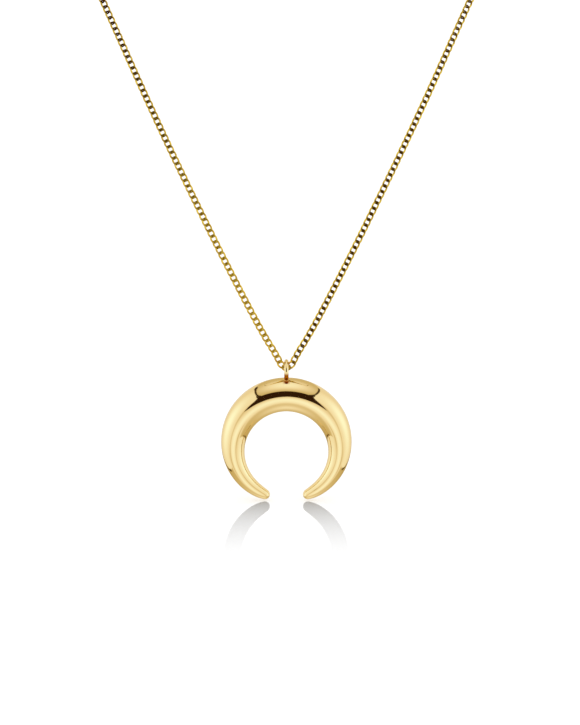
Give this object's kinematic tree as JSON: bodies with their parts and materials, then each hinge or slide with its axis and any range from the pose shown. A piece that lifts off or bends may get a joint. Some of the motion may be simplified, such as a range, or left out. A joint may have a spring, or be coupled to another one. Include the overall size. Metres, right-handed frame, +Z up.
{
  "type": "crescent horn pendant necklace",
  "caption": "Polished gold crescent pendant with two rounded horns, hanging free by a soldered ring on a fine curb chain that closes at the nape.",
  "frame": {"origin": "middle of the clasp at the nape of the neck, where the necklace is held up", "axes": "+Z up, +Y away from the viewer, from the chest towards the nape, +X to the viewer's right; the pendant hangs straight down at the front"},
  "size_m": [0.1062, 0.1144, 0.1513],
  "materials": {
    "pendant_gold": "mirror polished yellow gold plate on brass",
    "chain_gold": "polished yellow gold plate on brass wire"
  },
  "bodies": {
    "necklace": {"chain": "chain_gold", "end_ring_left": "chain_gold", "end_ring_right": "chain_gold", "clasp": "chain_gold"},
    "pendant": {"crescent_pendant": "pendant_gold"}
  },
  "joints": [
    {"name": "pendant_swing", "type": "hinge", "parent": "necklace", "child": "pendant", "pos_m": [0, -0.109, -0.1215], "axis": [1, 0, 0], "range_deg": [-90, 90]}
  ]
}
